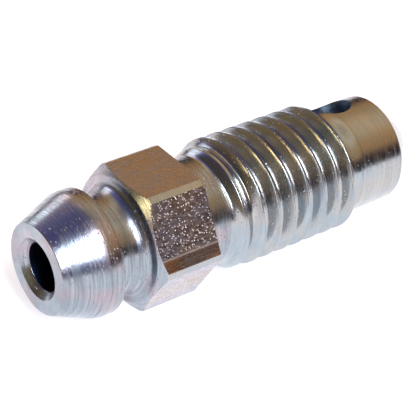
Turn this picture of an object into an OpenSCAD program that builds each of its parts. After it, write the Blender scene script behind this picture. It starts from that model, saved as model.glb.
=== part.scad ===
// Bleeder screw, lying on its side: nipple towards -X, sealing cone towards +X
// The origin is on the table, under the middle of the screw's length

/* [Nipple] */
// Diameter of the flat face at the nipple's end
face_d = 4.74; // [4:0.02:5.4]
// Length of the lead-in cone, from the face to the barb
cone_l = 2.2; // [1.6:0.1:3]
// Largest diameter of the barb
barb_d = 6.5; // [6:0.05:6.7]
// Length of the cylindrical land on the barb
barb_land_l = 0.75; // [0.4:0.05:1]
// Diameter of the neck that holds the hose's lip
neck_d = 5.15; // [4.8:0.05:5.6]
// Length of the neck, from the barb to the hexagon
neck_l = 1.75; // [1.6:0.05:3]
// Radius of the fillet between the neck and the hexagon
neck_fillet_r = 0.5; // [0.2:0.05:0.6]

/* [Hexagon] */
// Width across the flats
hex_af = 6.85; // [6.78:0.01:7]
// Length of the hexagon along the axis
hex_l = 3.5; // [2.6:0.1:5]
// Diameter to which the six corners are turned
hex_turned_d = 7.72; // [7.4:0.01:7.8]
// Width of the front chamfer, measured inwards from the turned corners
hex_chamfer = 0.56; // [0.2:0.02:0.6]
// Angle between the front chamfer and the front face
hex_chamfer_angle = 30; // [20:1:40]

/* [Thread] */
// Major diameter of the thread
thread_d = 6.95; // [6.8:0.01:7.05]
// Pitch of the thread
thread_p = 1; // [0.75:0.05:1.1]
// Length of the threaded part
thread_l = 7.6; // [5:0.1:12]
// Angle round the axis at which the crest leaves the collar, from +Y towards +Z
thread_phase = 210; // [0:10:350]
// How much smaller than the thread the relief behind the hexagon is, in diameter
relief_under = 1.2; // [0.8:0.05:1.5]
// Length of the relief, from the hexagon to the collar
relief_l = 2.1; // [1.4:0.05:3]
// Radius of the flare from the relief up to the collar
flare_r = 0.4; // [0.1:0.02:0.42]
// How much smaller than the thread the collar that it rises from is, in diameter
collar_under = 0.35; // [0.25:0.05:0.6]
// Length of the collar
collar_l = 0.45; // [0.4:0.05:1]

/* [Shank] */
// How much smaller than the thread the plain shank in front of it is, in diameter
shank_under = 1.09; // [1:0.01:1.2]
// Length of the plain shank
shank_l = 2.7; // [2.6:0.1:5]
// Angle of the sealing cone, flank to flank
seat_angle = 90; // [60:2:100]
// Diameter of the flat at the sealing cone's tip
tip_d = 2; // [1.6:0.1:2.6]
// Radius of the round between that flat and the cone
tip_round_r = 0.3; // [0.1:0.05:0.4]

/* [Fluid passage] */
// Diameter of the drilled passage
bore_d = 2.5; // [2:0.05:2.7]
// Diameter of the countersink at the passage's mouth
countersink_d = 3.2; // [2.9:0.05:3.6]
// Angle of the countersink, flank to flank
countersink_angle = 90; // [60:5:120]
// Diameter of the cross hole in the shank
cross_d = 2.4; // [1.8:0.05:2.45]
// Distance from the cross hole's centre to the shank's end
cross_back = 2.05; // [1.6:0.05:2.2]
// Angle round the axis of the cross hole, from +Y towards +Z
cross_angle = 66; // [0:1:359]
// Angle of the drill's point, flank to flank
drill_point_angle = 118; // [90:2:140]

/* [Hidden] */
// Steps of one turn of the round surfaces, and of the thread
$fn = 96;
thread_steps = 36;

// The thread has flanks at 60 degrees and a flat of an eighth of the pitch on its crest
thread_r = thread_d / 2;
root_r = thread_r - 0.6134 * thread_p;
crest_half = thread_p / 16;
flank_slope = tan(30);
// How far the ridge is let into the core, the collar and the shank
ridge_sunk = 0.08;
// Turns over which the crest rises from the collar
rise_turns = 0.6;
// Pitches over which the crest runs out at the shank
runout_pitches = 0.55;
// The crest leaves the collar this share of the collar's length behind its front
crest_lead = 1 / 3;

// Diameters that follow from the thread's
relief_d = thread_d - relief_under;
collar_d = thread_d - collar_under;
shank_d = thread_d - shank_under;

// Small edge breaks that the turning leaves
edge_break = 0.06;
// Run of the barb's rear face along the axis
barb_back_l = 0.12;
// The drill stops this far past the cross hole
drill_past_cross = 0.1;
// Flat that the drill's chisel edge leaves at the bottom of the passage
drill_chisel_d = 0.3;
// How far cutting shapes reach past the surface
past = 1;

// Stations along the axis, from the nipple's face
x_barb = cone_l;
x_neck = x_barb + barb_land_l;
x_hex = x_neck + neck_l;
// The nipple and the stem both start inside the hexagon, so that the three are one bar
x_mid_hex = x_hex + hex_l / 2;
x_relief = x_hex + hex_l;
x_collar = x_relief + relief_l;
x_core = x_collar + collar_l;
x_crest = x_collar + collar_l * crest_lead;
x_runout = x_crest + thread_l;
// The shank starts behind the foot of the thread's last turn
x_shank = x_runout + thread_p / 2;
x_seat = x_shank + shank_l;
x_cross = x_seat - cross_back;
// The round at the tip turns through this angle, from the flat to the cone
tip_turn = 90 - seat_angle / 2;
seat_l = (shank_d / 2 - tip_d / 2 - tip_round_r * sin(tip_turn)) / tan(seat_angle / 2);
x_end = x_seat + seat_l + tip_round_r * (1 - cos(tip_turn));

// The screw rests on the wider of the thread and the hexagon
axis_z = max(thread_d, hex_af) / 2;
steel = "#b9b3a6";

// Points of an arc about a centre, for the turned profiles
function arc_points(centre, radius, from, to, steps = 8) =
    [for (i = [0 : steps]) let (a = from + (to - from) * i / steps)
        [centre[0] + radius * cos(a), centre[1] + radius * sin(a)]];

// Turns a profile of [along the axis, radius] points about the X axis, with the seam underneath
module turned(profile) {
    rotate([0, 90, 0]) rotate_extrude()
        polygon([for (p = profile) [p[1], p[0]]]);
}

// Lead-in cone, barb and neck
module nipple() {
    neck_r = neck_d / 2;
    color(steel) turned(concat(
        [[0, 0], [0, face_d / 2 - edge_break], [edge_break, face_d / 2]],
        [[x_barb, barb_d / 2], [x_neck - edge_break, barb_d / 2], [x_neck, barb_d / 2 - edge_break]],
        [[x_neck + barb_back_l, neck_r]],
        arc_points([x_hex - neck_fillet_r, neck_r + neck_fillet_r], neck_fillet_r, 270, 360),
        [[x_mid_hex, neck_r + neck_fillet_r], [x_mid_hex, 0]]));
}

// Hexagon with turned corners; the front chamfer is slightly crowned, as part of a sphere
module hexagon() {
    corner_r = hex_turned_d / 2;
    chamfer_l = hex_chamfer * tan(hex_chamfer_angle);
    face_r = corner_r - hex_chamfer;
    crown_x = (chamfer_l * chamfer_l + corner_r * corner_r - face_r * face_r) / (2 * chamfer_l);
    color(steel) intersection() {
        translate([x_hex, 0, 0]) rotate([0, 90, 0]) rotate([0, 0, 30])
            cylinder(h = hex_l, d = hex_af / cos(30), $fn = 6);
        translate([x_hex, 0, 0]) rotate([0, 90, 0]) cylinder(h = hex_l, r = corner_r);
        translate([x_hex + crown_x, 0, 0]) sphere(r = sqrt(crown_x * crown_x + face_r * face_r));
    }
}

// Relief, collar, thread core, shank and sealing cone
module stem() {
    relief_r = relief_d / 2;
    shank_r = shank_d / 2;
    color(steel) turned(concat(
        [[x_mid_hex, 0], [x_mid_hex, relief_r]],
        arc_points([x_collar - flare_r, relief_r + flare_r], flare_r, 270, 360),
        [[x_collar, collar_d / 2], [x_core, collar_d / 2], [x_core, root_r],
         [x_shank, root_r], [x_shank, shank_r],
         [x_seat - edge_break, shank_r], [x_seat, shank_r - edge_break * tan(seat_angle / 2)]],
        arc_points([x_end - tip_round_r, tip_d / 2], tip_round_r, tip_turn, 0),
        [[x_end, 0]]));
}

// Radius of the thread's crest, which rises from the collar and sinks into the core at the shank
function crest_radius(x, turn) = let (
    from = collar_d / 2 - ridge_sunk,
    to = root_r - ridge_sunk / 2,
    rise = from + (thread_r - from) * turn / rise_turns,
    runout = to + (thread_r - to) * (x_runout - x) / (runout_pitches * thread_p))
    min(thread_r, rise, runout);

// Four corners of the ridge's section at one step
function ridge_section(step) = let (
    turn = step / thread_steps,
    a = thread_phase + 360 * turn,
    x = x_crest + turn * thread_p,
    top = crest_radius(x, turn),
    low = root_r - ridge_sunk,
    top_half = crest_half + (thread_r - top) * flank_slope,
    low_half = crest_half + (thread_r - low) * flank_slope)
    [for (c = [[-low_half, low], [-top_half, top], [top_half, top], [low_half, low]])
        [x + c[0], c[1] * cos(a), c[1] * sin(a)]];

// Right-hand helical ridge of the thread
module thread_ridge() {
    last = floor(thread_l / thread_p * thread_steps);
    points = [for (s = [0 : last]) each ridge_section(s)];
    sides = [for (s = [0 : last - 1], k = [0 : 3]) let (a = 4 * s + k, b = 4 * s + (k + 1) % 4)
        each [[a, b, b + 4], [a, b + 4, a + 4]]];
    color(steel) polyhedron(points, concat([[3, 2, 1, 0]], sides,
        [[for (k = [0 : 3]) 4 * last + k]]));
}

// Countersunk blind passage with its drill point, and the cross hole that meets it
module passage() {
    countersink_l = (countersink_d - bore_d) / 2 / tan(countersink_angle / 2);
    floor_x = x_cross + cross_d / 2 + drill_past_cross;
    point_x = floor_x + (bore_d - drill_chisel_d) / 2 / tan(drill_point_angle / 2);
    turned([
        [-past, 0], [-past, countersink_d / 2 + past * tan(countersink_angle / 2)],
        [countersink_l, bore_d / 2],
        [floor_x, bore_d / 2],
        [point_x, drill_chisel_d / 2],
        [point_x, 0]]);
    translate([x_cross, 0, 0]) rotate([cross_angle - 90, 0, 0])
        cylinder(h = thread_r + past, d = cross_d);
}

module bleeder_screw() {
    translate([-x_end / 2, 0, axis_z]) difference() {
        union() {
            nipple();
            hexagon();
            stem();
            thread_ridge();
        }
        passage();
    }
}

bleeder_screw();
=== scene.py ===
from math import atan2, cos, degrees, hypot, pi, radians, sin, sqrt, tan

import bmesh
import bpy
from mathutils import Matrix, Vector, noise


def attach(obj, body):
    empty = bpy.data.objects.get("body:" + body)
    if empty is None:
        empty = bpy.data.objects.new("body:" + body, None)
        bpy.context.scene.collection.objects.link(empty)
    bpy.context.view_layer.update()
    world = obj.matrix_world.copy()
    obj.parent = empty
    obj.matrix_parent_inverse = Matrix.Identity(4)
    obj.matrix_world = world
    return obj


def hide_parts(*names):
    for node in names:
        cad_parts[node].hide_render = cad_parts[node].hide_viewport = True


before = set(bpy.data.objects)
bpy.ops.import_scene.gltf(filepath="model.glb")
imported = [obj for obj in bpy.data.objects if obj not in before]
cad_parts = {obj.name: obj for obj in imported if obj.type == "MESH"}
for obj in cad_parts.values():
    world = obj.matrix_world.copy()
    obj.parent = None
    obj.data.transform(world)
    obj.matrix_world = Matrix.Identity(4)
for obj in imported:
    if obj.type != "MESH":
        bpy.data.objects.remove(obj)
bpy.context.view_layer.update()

mm = 0.001  # the screw is shaped in millimetres, one unit each, and brought to metres at the end

# Stations along the screw, from the nipple's face, and the height of its axis
stations = {"barb": 2.2, "neck": 2.95, "hexagon": 4.7, "relief": 8.2, "collar": 10.15,
            "core": 10.75, "shank": 18.55, "seat": 21.25, "end": 23.0556}
axisHeight = 3.475
turnSteps = 144  # steps of one turn, the same for the turned skin and the thread


def atStation(along, across=0.0, up=0.0):
    return Vector((along - stations["end"] / 2, across, axisHeight + up))


def smooth(share):
    share = min(1.0, max(0.0, share))
    return share * share * (3 - 2 * share)


def arcPoints(centre, radius, start, stop, steps=6):
    turns = [radians(start + (stop - start) * i / steps) for i in range(steps + 1)]
    return [(centre[0] + radius * cos(t), centre[1] + radius * sin(t)) for t in turns]


def clearSelection():
    if bpy.context.object and bpy.context.object.mode != "OBJECT":
        bpy.ops.object.mode_set(mode="OBJECT")
    bpy.ops.object.select_all(action="DESELECT")


def pickAlone(piece):
    clearSelection()
    piece.select_set(True)
    bpy.context.view_layer.objects.active = piece


def selectWhere(piece, kind, test):
    # Selects the faces, edges or vertices whose middle passes the test, and leaves edit mode open
    pickAlone(piece)
    bpy.ops.object.mode_set(mode="EDIT")
    bpy.ops.mesh.select_mode(type={"faces": "FACE", "edges": "EDGE", "verts": "VERT"}[kind])
    bpy.ops.mesh.select_all(action="DESELECT")
    form = bmesh.from_edit_mesh(piece.data)
    for part in getattr(form, kind):
        part.select_set(bool(test(part)))
    form.select_flush_mode()
    bmesh.update_edit_mesh(piece.data)


def alongOf(point):
    return point.x + stations["end"] / 2


def radiusOf(point):
    return hypot(point.y, point.z - axisHeight)


def angleOf(point):
    return atan2(point.z - axisHeight, point.y)


def tellForm(stage, piece):
    form = bmesh.new()
    form.from_mesh(piece.data)
    print(stage, "faces", len(form.faces), "open edges", sum(e.is_boundary for e in form.edges),
          "crossed edges", sum(len(e.link_faces) > 2 for e in form.edges),
          "loose edges", sum(not e.link_faces for e in form.edges))
    form.free()


# Camera, at the photo's place and angle
photoCamera = {"place": (-44.413, -50.593, 49.445), "turn": -40.495, "tilt": 34.697,
               "roll": 5.477, "lens": 136.74}
cameraData = bpy.data.cameras.new("photoCamera")
cameraData.lens = photoCamera["lens"]
cameraData.clip_start = 0.001
camera = bpy.data.objects.new("photoCamera", cameraData)
bpy.context.scene.collection.objects.link(camera)
camera.matrix_world = (Matrix.Translation(Vector(photoCamera["place"]) * mm)
                       @ Matrix.Rotation(radians(photoCamera["turn"]), 4, "Z")
                       @ Matrix.Rotation(radians(90 - photoCamera["tilt"]), 4, "X")
                       @ Matrix.Rotation(radians(photoCamera["roll"]), 4, "Z"))
bpy.context.scene.camera = camera
print("camera placed")


# Turned skin of the bar: an outline of (along, radius) points is spun about the axis
def spinOutline(name, outline):
    clearSelection()
    bpy.ops.mesh.primitive_circle_add(vertices=len(outline), radius=1, location=(0, 0, 0))
    piece = bpy.context.object
    piece.name = piece.data.name = name
    for vertex, (along, radius) in zip(piece.data.vertices, outline):
        vertex.co = atStation(along, 0, radius)
    last = len(outline) - 1
    bpy.ops.object.mode_set(mode="EDIT")
    bpy.ops.mesh.select_mode(type="EDGE")
    bpy.ops.mesh.select_all(action="DESELECT")
    form = bmesh.from_edit_mesh(piece.data)
    for edge in form.edges:  # the outline is open: the circle's closing edge goes
        ends = {edge.verts[0].index, edge.verts[1].index}
        edge.select_set(ends == {0, last})
    bmesh.update_edit_mesh(piece.data)
    bpy.ops.mesh.delete(type="EDGE")
    bpy.ops.mesh.select_all(action="SELECT")
    bpy.ops.mesh.spin(steps=turnSteps, angle=2 * pi, center=atStation(0), axis=(1, 0, 0))
    bpy.ops.mesh.select_all(action="SELECT")
    bpy.ops.mesh.remove_doubles(threshold=0.0002)
    bpy.ops.mesh.normals_make_consistent(inside=False)
    bpy.ops.object.mode_set(mode="OBJECT")
    return piece


nipple = {"faceDiameter": 4.74, "barbDiameter": 6.5, "neckDiameter": 5.15, "faceEdge": 0.06,
          "barbRound": 1.4, "barbRearRound": 0.07, "heelRound": 0.16, "filletLong": 0.85, "filletHigh": 0.5}
hexagon = {"acrossFlats": 6.85, "turnedDiameter": 7.718, "chamfer": 0.56, "chamferAngle": 30,
           "feedMarkPitch": 0.2, "feedMarkDepth": 0.007, "edgeRound": 0.022,
           "drawnLinePlace": 1.03, "drawnLineWidth": 0.09, "drawnLineHeight": 0.035, "drawnLineSide": 150}
stem = {"reliefDiameter": 5.75, "heelRound": 0.12, "flareStart": 9.4, "flareRadius": 1.3, "flareTop": 3.14,
        "grooveFadeIn": 1.35}
thread = {"diameter": 6.948, "pitch": 1.0, "start": 10.45, "length": 7.55, "phase": 210,
          "firstTurn": -0.6, "firstCrest": 3.24, "fullTurn": 0.6, "runOut": 0.45,
          "lip": 0.06, "crestEdge": 0.1, "seamDepth": 0.045, "unevenness": 0.008,
          "joinFront": 8.9, "joinRear": 18.62}
shank = {"diameter": 5.86, "rimRound": 0.06, "tipDiameter": 2.0, "tipRound": 0.3}
passage = {"bore": 2.5, "countersink": 3.2, "crossHole": 2.4, "crossPlace": 19.2,
           "crossAngle": 66, "floor": 20.5, "pointAngle": 118, "chisel": 0.3}


def turnedLine(start, stop, step=0.045, depth=0.0015, seed=0.0):
    # Points between two places of the outline, with the fine uneven rings that the tool leaves
    (x0, r0), (x1, r1) = start, stop
    count = max(2, int(hypot(x1 - x0, r1 - r0) / step))
    points = []
    for i in range(1, count):
        x, r = x0 + (x1 - x0) * i / count, r0 + (r1 - r0) * i / count
        ring = noise.noise(Vector((i * 0.83, seed, 0.5)))
        points.append((x, r - depth * (0.5 + ring)))
    return points


def nippleOutline():
    faceR, barbR, neckR = (nipple[k] / 2 for k in ("faceDiameter", "barbDiameter", "neckDiameter"))
    boreR, sinkR = passage["bore"] / 2, passage["countersink"] / 2
    pointLong = (boreR - passage["chisel"] / 2) / tan(radians(passage["pointAngle"] / 2))
    edge, floorAt, sinkLong = nipple["faceEdge"], passage["floor"], sinkR - boreR
    slope = atan2(barbR - faceR, stations["barb"]) * 180 / pi
    barbRound = nipple["barbRound"]  # the cone turns into the barb's land on a wide round
    back = barbRound * tan(radians(slope / 2))
    rearRound, heel = nipple["barbRearRound"], nipple["heelRound"]
    neck, face = stations["neck"], stations["hexagon"]
    points = [(floorAt + pointLong, 0), (floorAt + pointLong, passage["chisel"] / 2), (floorAt, boreR)]
    points += turnedLine((floorAt, boreR), (sinkLong + 0.05, boreR), 0.35, 0.0)
    points += arcPoints((sinkLong + 0.02, boreR + 0.05), 0.05, 270, 225, 3)
    points += turnedLine(points[-1], (0.02, sinkR - 0.01), 0.05, 0.003, 3.1)
    points += arcPoints((0.03, sinkR + 0.02), 0.03, 225, 180, 3)
    points += turnedLine((0, sinkR + 0.02), (0, faceR - edge), 0.2, 0.0)
    points += arcPoints((edge, faceR - edge), edge, 180, 90 + slope, 4)
    points += turnedLine(points[-1], (stations["barb"] - back, barbR - back * sin(radians(slope))), seed=7.7)
    points += arcPoints((stations["barb"] + back, barbR - barbRound), barbRound, 90 + slope, 90, 8)
    points += turnedLine(points[-1], (neck - rearRound, barbR), depth=0.001, seed=1.9)
    points += arcPoints((neck - rearRound, barbR - rearRound), rearRound, 90, 10, 4)
    points += arcPoints((neck + heel, neckR + heel), heel, 190, 270, 6)
    filletLong, filletHigh = nipple["filletLong"], nipple["filletHigh"]
    points += turnedLine((neck + heel, neckR), (face - filletLong, neckR), seed=5.3)
    for i in range(25):  # the fillet up to the hexagon is longer than it is high
        t = radians(270 + 90 * i / 24)
        ring = 0.0015 * noise.noise(Vector((i * 0.9, 2.2, 0)))
        points.append((face - filletLong + filletLong * cos(t) + ring, neckR + filletHigh + filletHigh * sin(t)))
    return points


def hexagonOutline():
    cornerR, chamfer = hexagon["turnedDiameter"] / 2, hexagon["chamfer"]
    front, rear = stations["hexagon"], stations["relief"]
    faceR = cornerR - chamfer
    chamferLong = chamfer * tan(radians(hexagon["chamferAngle"]))
    crownAt = (chamferLong ** 2 + cornerR ** 2 - faceR ** 2) / (2 * chamferLong)
    crownR = sqrt(crownAt ** 2 + faceR ** 2)
    points = [(front, faceR - 0.12), (front, faceR)]
    for i in range(1, 13):
        radius = faceR + chamfer * i / 12
        points.append((front + crownAt - sqrt(crownR ** 2 - radius ** 2), radius))
    # Feed marks of the turning tool show on what is left of the corners
    pitch, depth = hexagon["feedMarkPitch"], hexagon["feedMarkDepth"]
    along, k = points[-1][0], 0
    while along + pitch / 4 < rear - 0.05:
        along, k = along + pitch / 4, k + 1
        points.append((along, cornerR - depth * (0, 0.6, 1, 0.4)[k % 4]))
    points += arcPoints((rear - 0.03, cornerR - 0.03), 0.03, 80, 0, 3)
    return points


def reliefOutline():
    reliefR, rear, heel = stem["reliefDiameter"] / 2, stations["relief"], stem["heelRound"]
    points = [(rear, reliefR + 0.42)]
    points += arcPoints((rear + heel, reliefR + heel), heel, 180, 270, 5)
    points += turnedLine(points[-1], (thread["joinFront"] - 0.04, reliefR), depth=0.004, seed=4.4)
    return points + [(thread["joinFront"] - 0.04, reliefR)]


def shankOutline():
    shankR, tipR, tipRound, rim = shank["diameter"] / 2, shank["tipDiameter"] / 2, shank["tipRound"], shank["rimRound"]
    rear, seat, end = thread["joinRear"] + 0.04, stations["seat"], stations["end"]
    points = [(rear, shankR)] + turnedLine((rear, shankR), (seat - rim, shankR), 0.06, 0.001, 9.1)
    points += arcPoints((seat - rim, shankR - rim), rim, 90, 45, 4)
    coneEnd = (end - tipRound + tipRound * cos(pi / 4), tipR + tipRound * sin(pi / 4))
    points += turnedLine(points[-1], coneEnd, 0.07, 0.001, 6.6)
    points += arcPoints((end - tipRound, tipR), tipRound, 45, 0, 6)
    points += [(end, tipR * share) for share in (0.75, 0.5, 0.25, 0)]
    return points


frontSkin = spinOutline("frontSkin", nippleOutline() + hexagonOutline() + reliefOutline())
tellForm("front skin turned", frontSkin)

# The six flats are drawn: one cut and fill each takes them off the turned blank
def inHexagon(face):
    middle = face.calc_center_median()
    return (stations["hexagon"] - 0.01 < alongOf(middle) < stations["relief"] + 0.01
            and radiusOf(middle) > nipple["neckDiameter"] / 2 + nipple["filletHigh"])


def flatSide(face):
    # Angle of the flat that a face lies in, or none where the face is turned
    if not inHexagon(face) or abs(face.normal.x) > 0.01:
        return None
    side = round((degrees(atan2(face.normal.z, face.normal.y)) - 30) / 60) * 60 + 30
    height = face.calc_center_median() - atStation(0)
    lift = height.y * cos(radians(side)) + height.z * sin(radians(side))
    straight = face.normal.y * cos(radians(side)) + face.normal.z * sin(radians(side)) > 0.99999
    return side % 360 if straight and lift < hexagon["acrossFlats"] / 2 + 0.002 else None


for side in range(30, 390, 60):
    normal = Vector((0, cos(radians(side)), sin(radians(side))))
    selectWhere(frontSkin, "faces", inHexagon)
    bpy.ops.mesh.bisect(plane_co=atStation(stations["hexagon"]) + normal * hexagon["acrossFlats"] / 2,
                        plane_no=normal, use_fill=True, clear_outer=True, threshold=0.0001)
    bpy.ops.object.mode_set(mode="OBJECT")
tellForm("flats cut", frontSkin)

# Their edges are slightly broken
selectWhere(frontSkin, "edges", lambda edge: (
    len({flatSide(face) for face in edge.link_faces}) == 2))
bpy.ops.mesh.bevel(offset=hexagon["edgeRound"], segments=2, clamp_overlap=True)
bpy.ops.object.mode_set(mode="OBJECT")
tellForm("edges broken", frontSkin)

# The line that the drawing die left along one flat stands a little proud
lineNormal = Vector((0, cos(radians(hexagon["drawnLineSide"])), sin(radians(hexagon["drawnLineSide"]))))
lineAcross = Vector((0, -lineNormal.z, lineNormal.y))
for edgeAt in (hexagon["drawnLinePlace"], hexagon["drawnLinePlace"] + hexagon["drawnLineWidth"]):
    selectWhere(frontSkin, "faces", lambda face: flatSide(face) == hexagon["drawnLineSide"])
    bpy.ops.mesh.bisect(plane_co=atStation(0) + lineAcross * edgeAt, plane_no=lineAcross, threshold=0.0001)
selectWhere(frontSkin, "faces", lambda face: (
    flatSide(face) == hexagon["drawnLineSide"]
    and 0 < (face.calc_center_median() - atStation(0)).dot(lineAcross) - hexagon["drawnLinePlace"]
    < hexagon["drawnLineWidth"]))
bpy.ops.mesh.extrude_region_move(TRANSFORM_OT_translate={"value": lineNormal * hexagon["drawnLineHeight"]})
form = bmesh.from_edit_mesh(frontSkin.data)
lineMiddle = hexagon["drawnLinePlace"] + hexagon["drawnLineWidth"] / 2
for vertex in [v for v in form.verts if v.select]:
    vertex.co += lineAcross * 0.85 * (lineMiddle - (vertex.co - atStation(0)).dot(lineAcross))
bmesh.update_edit_mesh(frontSkin.data)
bpy.ops.object.mode_set(mode="OBJECT")
tellForm("die line drawn", frontSkin)


# Thread: one pitch of its section is screwed round the axis, and its ends are let down
def ridgeShare(offset):
    # Share of the ridge's height by the distance from the crest's middle: two lips with the seam
    # that rolling leaves between them, flanks at 30 degrees, and a round root
    pitch, across = thread["pitch"], abs(offset)
    lip, crestEdge = thread["lip"] * pitch, thread["crestEdge"] * pitch
    depth, rootRound, crestFlat = 0.6134 * pitch, 0.1443 * pitch, pitch / 16
    if across < lip:
        fall = thread["seamDepth"] * (0.5 + 0.5 * cos(pi * across / lip))
    elif across < crestEdge:
        fall = (crestEdge - crestFlat) * sqrt(3) * ((across - lip) / (crestEdge - lip)) ** 1.6
    elif across < pitch / 2 - rootRound * cos(pi / 6):
        fall = (across - crestFlat) * sqrt(3)
    else:
        fall = depth - rootRound + sqrt(max(0, rootRound ** 2 - (pitch / 2 - across) ** 2))
    return max(0.0, 1 - fall / depth)


def coreRadius(along):
    # The relief flares up to the thread, and the grooves reach their full depth over a pitch and a half
    rootR = thread["diameter"] / 2 - 0.6134 * thread["pitch"]
    reliefR, top, bend = stem["reliefDiameter"] / 2, stem["flareTop"], stem["flareRadius"]
    into = max(0.0, along - stem["flareStart"])
    flare = reliefR + bend - sqrt(max(0.0, bend ** 2 - into ** 2)) if into < bend else reliefR + bend
    topAt = stem["flareStart"] + sqrt(bend ** 2 - (reliefR + bend - top) ** 2)
    core = rootR + (top - rootR) * (1 - smooth((along - topAt) / stem["grooveFadeIn"]))
    soft = 0.05
    meet = 0.5 * (flare + core - sqrt((flare - core) ** 2 + soft ** 2)) + soft * 0.12
    level = meet if along > stem["flareStart"] + 0.25 else min(flare, meet + 0.02)
    return level + (shank["diameter"] / 2 - rootR) * smooth((along - thread["joinRear"] + 0.8) / 0.75)


def threadRadius(along, angle):
    pitch, crestR = thread["pitch"], thread["diameter"] / 2
    base = ((angle - radians(thread["phase"])) / (2 * pi)) % 1
    turn = base + round((along - thread["start"]) / pitch - base)
    offset = along - thread["start"] - turn * pitch
    first, full, last = thread["firstTurn"], thread["fullTurn"], thread["length"] / pitch
    crest = thread["firstCrest"] + (crestR - thread["firstCrest"]) * smooth((turn - first) / (full - first))
    crest -= thread["unevenness"] * (0.5 + noise.noise(Vector((turn * 9, offset * 14, 0))))
    rise = smooth((turn - first) / 0.35) * smooth((last - turn) / thread["runOut"])
    level = coreRadius(along)
    return level + max(0.0, crest - level) * ridgeShare(offset) * rise


def screwThread():
    pitch = thread["pitch"]
    half = [pitch * share for share in (0.018, 0.036, 0.055, 0.07, 0.085, 0.1, 0.16, 0.23, 0.3,
                                        0.375, 0.4, 0.425, 0.45, 0.475, 0.5)]
    offsets = [-o for o in reversed(half)] + [0] + half
    clearSelection()
    bpy.ops.mesh.primitive_circle_add(vertices=len(offsets), radius=1, location=(0, 0, 0))
    piece = bpy.context.object
    piece.name = piece.data.name = "rolledThread"
    turns = int(thread["length"] / pitch) + 4
    for vertex, offset in zip(piece.data.vertices, offsets):
        vertex.co = (offset, 0, thread["diameter"] / 2)
    pickAlone(piece)
    bpy.ops.object.mode_set(mode="EDIT")
    bpy.ops.mesh.select_mode(type="EDGE")
    bpy.ops.mesh.select_all(action="DESELECT")
    form = bmesh.from_edit_mesh(piece.data)
    for edge in form.edges:
        edge.select_set({edge.verts[0].index, edge.verts[1].index} == {0, len(offsets) - 1})
    bmesh.update_edit_mesh(piece.data)
    bpy.ops.mesh.delete(type="EDGE")
    bpy.ops.object.mode_set(mode="OBJECT")
    screw = piece.modifiers.new("screw", "SCREW")
    screw.axis, screw.angle, screw.screw_offset = "X", 2 * pi, pitch
    screw.iterations, screw.steps, screw.render_steps = turns, turnSteps, turnSteps
    bpy.ops.object.modifier_apply(modifier="screw")
    # The section starts at the top, a quarter turn from +Y, and so the crest is moved along to meet its phase
    sign = 1 if piece.data.vertices[len(offsets) * (turnSteps // 4)].co.y < 0 else -1
    first = thread["start"] + (90 - thread["phase"]) / 360 * pitch - 2 * pitch
    print("screw turns towards", "-Y" if sign > 0 else "+Y")
    for vertex in piece.data.vertices:
        along, across, up = vertex.co
        angle = atan2(up, across)
        along += first
        radius = threadRadius(along, angle)
        vertex.co = atStation(along, radius * cos(angle), radius * sin(angle))
    bpy.ops.object.mode_set(mode="EDIT")
    bpy.ops.mesh.select_all(action="SELECT")
    bpy.ops.mesh.remove_doubles(threshold=0.0005)
    for place, outwards in ((thread["joinFront"], -1), (thread["joinRear"], 1)):
        bpy.ops.mesh.select_all(action="SELECT")
        bpy.ops.mesh.bisect(plane_co=atStation(place), plane_no=(outwards, 0, 0), clear_outer=True,
                            threshold=0.0001)
    bpy.ops.mesh.select_all(action="SELECT")
    bpy.ops.mesh.normals_make_consistent(inside=False)
    bpy.ops.object.mode_set(mode="OBJECT")
    return piece


rolledThread = screwThread()
rearSkin = spinOutline("rearSkin", shankOutline())
tellForm("thread rolled", rolledThread)
tellForm("rear skin turned", rearSkin)

# The three skins become one closed body
clearSelection()
for piece in (frontSkin, rolledThread, rearSkin):
    piece.select_set(True)
bpy.context.view_layer.objects.active = frontSkin
bpy.ops.object.join()
screwBody = frontSkin
screwBody.name = screwBody.data.name = "bleederScrewBody"
for place in (thread["joinFront"], thread["joinRear"]):
    selectWhere(screwBody, "edges", lambda edge: (
        edge.is_boundary and abs(alongOf((edge.verts[0].co + edge.verts[1].co) / 2) - place) < 0.06))
    bpy.ops.mesh.bridge_edge_loops()
bpy.ops.mesh.select_all(action="SELECT")
bpy.ops.mesh.normals_make_consistent(inside=False)
bpy.ops.object.mode_set(mode="OBJECT")
tellForm("skins joined", screwBody)

# Cross hole, drilled through one wall into the passage
holeTurn = radians(passage["crossAngle"])
clearSelection()
bpy.ops.mesh.primitive_cylinder_add(vertices=96, radius=passage["crossHole"] / 2, depth=6)
drill = bpy.context.object
drill.name = "drill"
drill.data.transform(Matrix.Translation(atStation(passage["crossPlace"]))
                     @ Matrix.Rotation(holeTurn - pi / 2, 4, "X") @ Matrix.Translation((0, 0, 3)))
pickAlone(screwBody)
cut = screwBody.modifiers.new("crossHole", "BOOLEAN")
cut.operation, cut.object, cut.solver = "DIFFERENCE", drill, "EXACT"
bpy.ops.object.modifier_apply(modifier="crossHole")
bpy.data.objects.remove(drill)
screwBody.data.transform(Matrix.Scale(mm, 4))
bpy.ops.object.shade_smooth_by_angle(angle=radians(32))
tellForm("cross hole drilled", screwBody)


# Materials
def linearColour(hexText):
    parts = [int(hexText[i:i + 2], 16) / 255 for i in (1, 3, 5)]
    return tuple(p / 12.92 if p <= 0.04045 else ((p + 0.055) / 1.055) ** 2.4 for p in parts) + (1,)


def addNode(tree, kind, settings, links):
    # Links are by the input's name or number, each with the socket that feeds it or its fixed value
    node = tree.nodes.new(kind)
    for key, value in settings.items():
        setattr(node, key, value)
    for key, source in links.items():
        if isinstance(source, bpy.types.NodeSocket):
            tree.links.new(source, node.inputs[key])
        else:
            node.inputs[key].default_value = source
    return node


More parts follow.
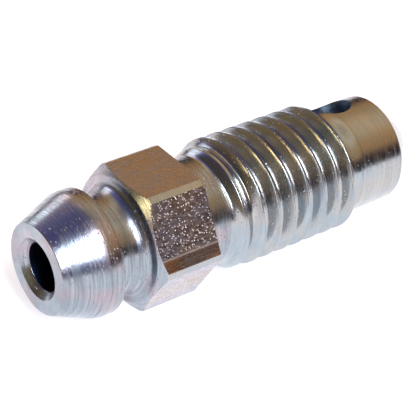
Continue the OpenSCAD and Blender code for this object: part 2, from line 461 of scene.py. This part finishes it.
def platedSteel(name, look):
    # Carbon steel under bright zinc with a clear blue passivation. Tool marks, as long and wide in
    # millimetres as the look says, and small pits stand in the surface; patches carry the film's tint.
    # The marks' low parts are also painted darker, painted shade in their grooves, and each look's pit
    # factor paints the pits' middles lighter, a painted sparkle, when above one, and darker, painted shade, when below
    # one
    finish = bpy.data.materials.new(name)
    finish.use_nodes = True
    tree = finish.node_tree
    shader = tree.nodes["Principled BSDF"]
    place = addNode(tree, "ShaderNodeTexCoord", {}, {}).outputs["Object"]
    alongMarks, acrossMarks = look["marks"]
    markScale = (1 / (alongMarks * mm), 1 / (acrossMarks * mm), 1 / (acrossMarks * mm))
    markPlace = addNode(tree, "ShaderNodeMapping", {}, {"Vector": place, "Scale": markScale})
    marks = addNode(tree, "ShaderNodeTexNoise", {}, {
        "Vector": markPlace.outputs["Vector"], "Scale": 1.0, "Detail": 3.0, "Roughness": 0.65})
    patchPlace = addNode(tree, "ShaderNodeMapping", {}, {
        "Vector": place, "Scale": (0.5 / (look["patch"] * mm),) + (1 / (look["patch"] * mm),) * 2})
    patches = addNode(tree, "ShaderNodeTexNoise", {}, {
        "Vector": patchPlace.outputs["Vector"], "Scale": 1.0, "Detail": 2.0})
    tint = addNode(tree, "ShaderNodeValToRGB", {}, {"Fac": patches.outputs["Fac"]})
    for element, spot, key in zip(tint.color_ramp.elements, (0.38, 0.62), ("cool", "warm")):
        element.position, element.color = spot, linearColour(look[key])
    pitPlace = addNode(tree, "ShaderNodeMapping", {}, {
        "Vector": place, "Scale": (1 / (look["pitSpacing"] * mm),) * 3})
    pits = addNode(tree, "ShaderNodeTexVoronoi", {}, {"Vector": pitPlace.outputs["Vector"], "Scale": 1.0})
    pitSize = addNode(tree, "ShaderNodeMapRange", {}, {
        "Value": patches.outputs["Fac"], "From Min": 0.1, "From Max": 0.6,
        "To Min": look["pitWidth"] * look["pitEvenness"], "To Max": look["pitWidth"]})
    hollow = addNode(tree, "ShaderNodeMapRange", {"interpolation_type": "SMOOTHSTEP"}, {
        "Value": pits.outputs["Distance"], "From Min": 0.0, "From Max": pitSize.outputs["Result"]})
    # The marks' low parts are painted darker: painted shade in their grooves, laid over the marks' real bumps
    markToneAndGrooveShade = addNode(tree, "ShaderNodeMapRange", {}, {
        "Value": marks.outputs["Fac"], "From Min": 0.32, "From Max": 0.68, "To Min": look["dark"], "To Max": 1.0})
    # The pits' middles are scaled by the look's pit factor: painted lighter as a painted sparkle above one, painted
    # darker as painted shade in the hollow below one
    shade = addNode(tree, "ShaderNodeMath", {"operation": "MULTIPLY"}, {
        0: markToneAndGrooveShade.outputs["Result"],
        1: addNode(tree, "ShaderNodeMapRange", {}, {
            "Value": hollow.outputs["Result"], "To Min": look["pitPaintedLight"]}).outputs["Result"]})
    colour = addNode(tree, "ShaderNodeVectorMath", {"operation": "SCALE"}, {
        0: tint.outputs["Color"], "Scale": shade.outputs["Value"]})
    tree.links.new(colour.outputs["Vector"], shader.inputs["Base Color"])
    low, high = look["roughness"]
    gloss = addNode(tree, "ShaderNodeMapRange", {}, {
        "Value": marks.outputs["Fac"], "From Min": 0.35, "From Max": 0.65, "To Min": high, "To Max": low})
    tree.links.new(gloss.outputs["Result"], shader.inputs["Roughness"])
    height = addNode(tree, "ShaderNodeMath", {"operation": "MULTIPLY_ADD"}, {
        0: hollow.outputs["Result"], 1: look["pitDepth"] / look["markDepth"], 2: marks.outputs["Fac"]})
    bump = addNode(tree, "ShaderNodeBump", {}, {
        "Height": height.outputs["Value"], "Distance": look["markDepth"] * mm, "Strength": 1.0})
    tree.links.new(bump.outputs["Normal"], shader.inputs["Normal"])
    shader.inputs["Metallic"].default_value = 1
    return finish


# In the looks below, a pit factor above one paints a sparkle into the pits and one below one paints shade into them,
# and 'dark' paints shade into the marks' grooves
# Turned: feed rings round the axis. Real ones are some 0.05 mm apart and are drawn twice as coarse to show
turnedZinc = {"marks": (0.1, 3.0), "markDepth": 0.008, "patch": 1.5, "cool": "#A4B0BA", "warm": "#B4AEB6",
              "dark": 0.62, "pitSpacing": 0.17, "pitWidth": 0.32, "pitEvenness": 0.15, "pitDepth": 0.03, "pitPaintedLight": 1.3,
              "roughness": (0.18, 0.33)}
# Cold drawn: the pits of the bar's skin, whose middles are painted much lighter, a painted sparkle
drawnZinc = {"marks": (0.4, 0.16), "markDepth": 0.003, "patch": 0.9, "cool": "#AEAEBC", "warm": "#B6ACA8",
             "dark": 0.8, "pitSpacing": 0.135, "pitWidth": 0.36, "pitEvenness": 0.7, "pitDepth": 0.025, "pitPaintedLight": 1.8,
             "roughness": (0.22, 0.36)}
# Scraped by the drawing die below its line: streaks along the bar and a warmer tint
scrapedZinc = {"marks": (2.5, 0.14), "markDepth": 0.02, "patch": 0.8, "cool": "#B0A4A0", "warm": "#D8B090",
               "dark": 0.5, "pitSpacing": 0.4, "pitWidth": 0.2, "pitEvenness": 0.25, "pitDepth": 0.006, "pitPaintedLight": 0.7,
               "roughness": (0.2, 0.34)}
# Rolled: the dies burnish the flanks, and leave only faint lines along the thread
rolledZinc = {"marks": (0.14, 2.0), "markDepth": 0.003, "patch": 1.2, "cool": "#A6B2BA", "warm": "#B2B4B4",
              "dark": 0.88, "pitSpacing": 0.24, "pitWidth": 0.28, "pitEvenness": 0.15, "pitDepth": 0.01, "pitPaintedLight": 1.2,
              "roughness": (0.16, 0.3)}
# Drilled: coarse rings and hardly any zinc, because plating thins out down a deep hole. Its dark navy colour is painted
# shade inside the deep bore
drilledZincAndPaintedShade = {"marks": (0.16, 2.0), "markDepth": 0.012, "patch": 1.5, "cool": "#34456E", "warm": "#4A4A5C",
               "dark": 0.5, "pitSpacing": 0.6, "pitWidth": 0.2, "pitEvenness": 0.25, "pitDepth": 0.004, "pitPaintedLight": 0.6,
               "roughness": (0.25, 0.45)}
# Cross drilled: the bath reaches this short hole, and it is matt from the drill. Its pale blue-grey tone is a painted
# reflection of light inside the hole
crossHolePaintedReflection = {"marks": (0.5, 0.2), "markDepth": 0.012, "patch": 1.0, "cool": "#7C92B0", "warm": "#9CB0C2",
             "dark": 0.85, "pitSpacing": 0.5, "pitWidth": 0.2, "pitEvenness": 0.25, "pitDepth": 0.004, "pitPaintedLight": 0.8,
             "roughness": (0.28, 0.44)}

screwBody.data.materials.clear()
for name, look in (("turnedBrightZincSteel", turnedZinc), ("drawnBrightZincSteel", drawnZinc),
                   ("rolledBrightZincSteel", rolledZinc), ("drilledThinZincPaintedShadeSteel", drilledZincAndPaintedShade),
                   ("scrapedBrightZincSteel", scrapedZinc), ("crossDrilledPaintedReflectionSteel", crossHolePaintedReflection)):
    screwBody.data.materials.append(platedSteel(name, look))
holeAxis = Vector((0, cos(holeTurn), sin(holeTurn)))
for polygon in screwBody.data.polygons:
    middle = polygon.center / mm
    along, radius = alongOf(middle), radiusOf(middle)
    fromHole = (middle - atStation(passage["crossPlace"])).cross(holeAxis).length
    tilted = abs(polygon.normal.x) > 0.01
    inBore = radius < passage["bore"] / 2 + 0.03 and 0.4 < along < stations["seat"] + 0.3
    inHole = abs(fromHole - passage["crossHole"] / 2) < 0.02 and abs(polygon.normal.dot(holeAxis)) < 0.2
    inFlat = (stations["hexagon"] < along < stations["relief"] and not tilted and radius > 3.3
              and radius < hexagon["turnedDiameter"] / 2 - 0.012)
    # The bore's wall takes the drilled finish, painted dark as painted shade inside the deep bore
    if inBore:
        polygon.material_index = 3
    # The cross hole's wall takes a finish whose pale blue-grey is a painted reflection
    elif inHole and radius < shank["diameter"] / 2:
        polygon.material_index = 5
    elif inFlat:
        belowLine = (polygon.normal.dot(lineNormal) > 0.9
                     and (middle - atStation(0)).dot(lineAcross) > hexagon["drawnLinePlace"])
        polygon.material_index = 4 if belowLine else 1
        polygon.use_smooth = False
    elif (along > thread["start"] - 0.9 and not inHole) or (
            stations["hexagon"] + 0.3 < along < stations["relief"] and radius > 3.8):
        polygon.material_index = 2
print("finishes given")
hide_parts("bleeder_screw")
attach(screwBody, "root")

# Floor
clearSelection()
bpy.ops.mesh.primitive_plane_add(size=1.2, location=(0, 0, 0))
floorPlane = bpy.context.object
floorPlane.name = "paleFloor"
floorPaint = bpy.data.materials.new("matWhitePaper")
floorPaint.use_nodes = True
floorShader = floorPaint.node_tree.nodes["Principled BSDF"]
floorShader.inputs["Base Color"].default_value = linearColour("#F4F4F6")
floorShader.inputs["Roughness"].default_value = 0.9
floorShader.inputs["Emission Color"].default_value = linearColour("#F8FAFF")
floorShader.inputs["Emission Strength"].default_value = 0.62  # lit from below, as a light table is
floorPlane.data.materials.append(floorPaint)

# Studio: a pale floor in a room that is warm on the stem's side, cool beside the nipple and brown beyond it
studio = {"warm": ((0.0, "#33282B"), (0.14, "#3A2E2C"), (0.3, "#503F40"), (0.48, "#D4A26C"), (0.66, "#D8A870"),
                   (0.83, "#FFE2BC"), (0.94, "#CFB493"), (1.0, "#948A80")),
          "cool": ((0.0, "#24203A"), (0.15, "#544C94"), (0.45, "#8880C4"), (0.8, "#6C68AC"), (1.0, "#5C5890")),
          "brown": ((0.0, "#342C2A"), (0.08, "#8C7660"), (0.22, "#9A825C"), (0.5, "#5A4C40"), (1.0, "#50506A")),
          "strength": 1.0}
world = bpy.data.worlds.new("studio")
world.use_nodes = True
bpy.context.scene.world = world
sky = world.node_tree
direction = addNode(sky, "ShaderNodeSeparateXYZ", {}, {
    "Vector": addNode(sky, "ShaderNodeTexCoord", {}, {}).outputs["Generated"]})
walls = []
for side in ("brown", "cool", "warm"):
    wall = addNode(sky, "ShaderNodeValToRGB", {}, {"Fac": direction.outputs["Z"]})
    for spot, tone in studio[side][1:-1]:
        wall.color_ramp.elements.new(spot)
    for element, (spot, tone) in zip(wall.color_ramp.elements, studio[side]):
        element.position, element.color = spot, linearColour(tone)
    walls.append(wall.outputs["Color"])
room = walls[0]
for wall, (start, stop) in zip(walls[1:], ((-0.45, -0.28), (-0.1, 0.08))):
    share = addNode(sky, "ShaderNodeMapRange", {}, {
        "Value": direction.outputs["X"], "From Min": start, "From Max": stop})
    blend = addNode(sky, "ShaderNodeMix", {"data_type": "RGBA"}, {"Factor": share.outputs["Result"], 6: room, 7: wall})
    room = blend.outputs[2]
background = sky.nodes["Background"]
sky.links.new(room, background.inputs["Color"])
background.inputs["Strength"].default_value = studio["strength"]


def softBox(name, place, aim, width, height, power, colour):
    lamp = bpy.data.lights.new(name, "AREA")
    lamp.shape, lamp.size, lamp.size_y, lamp.energy = "RECTANGLE", width, height, power
    lamp.color = linearColour(colour)[:3]
    holder = bpy.data.objects.new(name, lamp)
    bpy.context.scene.collection.objects.link(holder)
    holder.location = place
    holder.rotation_euler = (Vector(aim) - Vector(place)).to_track_quat("-Z", "Y").to_euler()
    return holder


softBox("cameraSideBox", (-0.085, -0.28, 0.30), (-0.008, 0, 0), 0.10, 0.30, 1.5, "#F6F9FF")
softBox("goldenBox", (-0.40, 0.06, 0.07), (0, 0, 0.003), 0.12, 0.06, 0.16, "#FFDC9C")
softBox("floorBox", (-0.02, 0.80, 0.30), (0, 0, 0), 0.5, 0.3, 0.9, "#FFFFFF")
bpy.context.scene.view_settings.view_transform = "Standard"  # a plain print of the light, as in the photo
